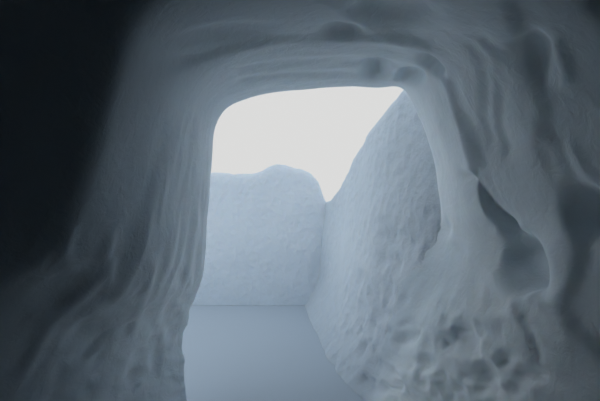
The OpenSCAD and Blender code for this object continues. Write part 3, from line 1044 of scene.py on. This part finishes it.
# Chinking: loose snow rubbed into the joints, a thin shell just under the faces
def makeChinking(material):
    mesh = bmesh.new()
    bmesh.ops.create_uvsphere(mesh, u_segments=220, v_segments=150, radius=1)
    grow = dome["lining"] + dome["block"] - chinking["sink"]
    beds = [domePoint(bedAngle(k), 0, grow) for k in range(len(dome["counts"]) + 1)]
    ceiling = beds[-1].z
    for vert in mesh.verts:
        z = max(0.0, vert.co.z) * (dome["height"] + grow)
        flat = math.hypot(vert.co.x, vert.co.y)
        if flat > 1e-6 and z <= ceiling:
            r = float(np.interp(z, [bed.z for bed in beds], [bed.x for bed in beds])) / flat
        else:
            r = dome["radius"] + grow
        vert.co = Vector((vert.co.x * r, dome["centreY"] + vert.co.y * r, z))
    below = [v for v in mesh.verts if v.co.z <= 0.0005 or v.co.z > ceiling - 0.01]
    bmesh.ops.delete(mesh, geom=below, context="VERTS")
    arch = (door["side"] + chinking["besideDoor"], door["top"] + chinking["overDoor"])
    inDoor = [v for v in mesh.verts if v.co.y < dome["centreY"]
              and math.hypot(v.co.x, v.co.z) < archReach(math.atan2(v.co.z, v.co.x), *arch)]
    bmesh.ops.delete(mesh, geom=inDoor, context="VERTS")
    thing = meshObject("joint_snow", mesh)
    roughen(thing, chinking["layers"])
    thicken(thing, chinking["shell"])
    finishPiece(thing, material, "packed_snow")


# Porch rings

porchLook = {
    "proud": (-0.003, 0.006),
    "cell": 0.035,
    "intoDome": 0.03,  # reach of the inner ring under the dome's outer face,
    "jointIntoDome": 0.04,  # and of the snow in its joints
    "layers": [(0.24, 0.008, 2.4), (0.09, 0.005, 9.1), (0.04, 0.0022, 0.7)],
}


def jambPlace(z, side, sign):
    share = z / door["springZ"]
    return sign * (door["floorHalf"] + side + (door["springHalf"] - door["floorHalf"]) * share), z


# The dome's front at a place, a little under its outer face
def domeFaceY(x, z, under):
    grow = dome["lining"] + dome["block"] - under
    a = dome["radius"] + grow
    b = dome["height"] + grow
    inside = 1 - (z / b) ** 2 - (x / a) ** 2
    return dome["centreY"] - a * math.sqrt(max(inside, 0.02))


# A jamb block between two heights, or a vault block between two angles
def addPorchBlock(mesh, kind, low, high, fromY, toY, sign):
    proud = random.uniform(*porchLook["proud"])
    side = door["side"]
    top = door["top"]
    thick = door["porch"] + proud

    def carry(a, b, c):
        if kind == "vault":
            angle = math.radians(low + (high - low) * c)
            x, z = archPlace(angle, side + thick * b, top + thick * b)
        else:
            x, z = jambPlace(low + (high - low) * c, side + thick * b, sign)
        end = toY if toY is not None else domeFaceY(x, z, porchLook["intoDome"])
        return Vector((x, fromY + (end - fromY) * a, z))
    start, centre, end = [carry(0.5, 0.5, share) for share in (0, 0.5, 1)]
    height = (centre - start).length + (end - centre).length
    depth = (carry(1, 0.5, 0.5) - carry(0, 0.5, 0.5)).length
    grounded = kind == "jamb" and low == 0
    addBlock(mesh, (max(depth, 0.08), thick, height), carry, cell=porchLook["cell"], grounded=grounded)


def makeRing(prefix, fromY, toY, material):
    spring = door["springZ"]
    crown = door["crownFrom"]
    jambs = [0, spring / 2, spring]
    parts = {"left": ("jamb", jambs, 1), "right": ("jamb", jambs, -1),
             "vault": ("vault", [0, crown, 180 - crown, 180], 1)}
    for part, (kind, joints, sign) in parts.items():
        mesh = bmesh.new()
        for low, high in zip(joints, joints[1:]):
            addPorchBlock(mesh, kind, low, high, fromY, toY, sign)
        thing = meshObject("snow_" + prefix + "_" + part, mesh)
        roughen(thing, porchLook["layers"])
        clearPassage(thing)
        finishPiece(thing, material, "block_snow", prefix + "_" + part)


# The loose snow in the porch's joints: up behind its front, then back to the dome
def makePorchJoints(material):
    inner, outer = [np.stack(archPoints(door["side"] + sink, door["top"] + sink, 37), axis=1)
                    for sink in (chinking["porchInner"], door["porch"] - chinking["porchOuter"])]
    run = np.append(0, np.cumsum(np.linalg.norm(np.diff(outer, axis=0), axis=1)))
    front = door["lipY"] + chinking["porchFront"]
    upFront = chinking["upFront"]
    mesh = bmesh.new()
    bmesh.ops.create_grid(mesh, x_segments=110, y_segments=30, size=1)
    for vert in mesh.verts:
        around = (vert.co.x + 1) / 2 * run[-1]
        share = (vert.co.y + 1) / 2
        outline = inner + (outer - inner) * min(share / upFront, 1)
        x = np.interp(around, run, outline[:, 0])
        z = np.interp(around, run, outline[:, 1])
        back = domeFaceY(x, z, porchLook["jointIntoDome"])
        vert.co = (x, front + (back - front) * max(share - upFront, 0) / (1 - upFront), z)
    thing = meshObject("porch_joint_snow", mesh)
    roughen(thing, chinking["porchLayers"])
    clearPassage(thing)
    thicken(thing, chinking["porchShell"], 0)
    finishPiece(thing, material, "packed_snow")


# Windbreak

# 1 in a joint and 0 away from it
def jointDepth(along, up, breaks):
    nearest = np.abs(up[:, None] - np.array([yard["courseZ"], 2 * yard["courseZ"]])).min(axis=1)
    for course, places in enumerate(breaks):
        top = (course + 1) * yard["courseZ"] if course < 2 else math.inf
        inside = (up >= course * yard["courseZ"]) & (up < top)
        gap = np.abs(along[:, None] - np.array(places)).min(axis=1)
        nearest = np.where(inside, np.minimum(nearest, gap), nearest)
    return np.exp(-(nearest / yard["grooveWidth"]) ** 2)


# A wall of three courses of snow blocks, grown together on the yard side
def makeWall(name, wall, size, carry, material, *alsoNodes):
    mesh = bmesh.new()
    addBlock(mesh, size, carry, rounding=yard["rounding"], cell=wall["cell"], grounded=True)
    thing = meshObject("snow_" + name, mesh)
    points = readPoints(thing.data.vertices)
    normals = readNormals(thing)
    onBack = normals @ np.array(wall["yardSide"], float) <= 0.3
    joints = jointDepth(points @ np.array(wall["along"], float) + wall["from"], points[:, 2], wall["breaks"])
    relief = snowRelief(points) + yard["groove"] * onBack * joints
    push(thing, points, -relief - strokeDepth(points - normals * relief[:, None]))
    courses = [name + "_course_%d" % number for number in (1, 2, 3)]
    finishPiece(thing, material, "block_snow", *courses, *alsoNodes)


def makeSideWall(material):
    start = door["lipY"] + sideWall["tucked"]
    length = start - yard["endY"]
    gone, heights = zip(*sideWall["crest"])

    def carry(a, b, c):
        y = start - length * a
        beyond = door["lipY"] - y
        z = float(np.interp(beyond, gone, heights)) * c
        out = max(beyond, 0)
        hidden = ease((sideWall["skinReach"] - beyond) / 0.03) \
            * ease((sideWall["skinZ"] - 0.3 * out - z) / 0.08)
        face = float(sideFace(out, z)) + min(beyond, 0) * sideWall["turnAway"] \
            - sideWall["underSkin"] * float(hidden)
        back = yard["footX"] + sideWall["closing"] * beyond - yard["thick"]
        return Vector((face + (back - face) * b, y, z))
    makeWall("side_wall", sideWall, (length, yard["thick"], yard["nearZ"]), carry, material)


frontWall = {
    "tucked": 0.13,  # length that runs on inside the side wall
    "cell": 0.017,
    "along": (1, 0, 0),
    "from": 0,
    "yardSide": (0, 1, 0),
    "crest": [(-0.184, 0.61), (-0.112, 0.61), (-0.085, 0.66), (-0.058, 0.75), (-0.01, 0.80), (0.04, 0.822),
              (0.09, 0.83), (0.15, 0.852), (0.2, 0.86), (0.25, 0.842), (0.30, 0.806), (0.36, 0.792),
              (0.45, 0.79), (0.59, 0.80), (0.8, 0.785), (1.15, 0.77)],
    "breaks": [[0.483], [0.15, 0.816], [0.483]],
}


def makeFrontWall(material):
    start = yard["footX"] - frontWall["tucked"]
    length = yard["run"] - start
    places, heights = zip(*frontWall["crest"])

    def carry(a, b, c):
        x = start + length * a
        z = float(np.interp(x, places, heights)) * c
        face = yard["faceY"] - yard["batter"] * z + float(footDrift(z))
        return Vector((x, face + (yard["endY"] - face) * b, z))
    size = (length, yard["frontThick"], yard["frontZ"])
    makeWall("front_wall", frontWall, size, carry, material, "crest_heap")


makeCamera()
makeLight()
makeStage()
print("camera, light and stage ready")

blockMaterial = blockSnow()
glazeMaterial = glazedSnow()
packedMaterial = packedSnow("packed snow", packedLook)
print("materials ready")

makeLining(glazeMaterial)
wholeBlocks = [range(2, 14), range(2, 15), range(2, 14), range(10), range(10), range(5)]
for k, numbers in enumerate(wholeBlocks):
    makeCourse("course_%d" % (k + 1), k, numbers, blockMaterial)
doorBlocks = [(1, 14), (1, 0), (1, 14)]
for k, pair in enumerate(doorBlocks):
    for hand, number in zip(("left", "right"), pair):
        makeCourse("door_block_%d_%s" % (k + 1, hand), k, [number], blockMaterial, True)
makeCourse("lintel_block", 2, [0], blockMaterial, True)
makeKeyBlock(blockMaterial)
makeChinking(packedMaterial)
makeRing("outer_ring", door["lipY"], door["midY"], blockMaterial)
makeRing("inner_ring", door["midY"], None, blockMaterial)
makePorchJoints(packedMaterial)
# The side wall in a darker copy of the packed snow: painted shade
makeSideWall(packedSnow("side wall shaded snow", sideWallShadeLook))
# The front wall in a darker copy of the packed snow: painted shade
makeFrontWall(packedSnow("front wall shaded snow", frontWallShadeLook))

bpy.context.scene.view_settings.view_transform = "Standard"
bpy.context.view_layer.update()
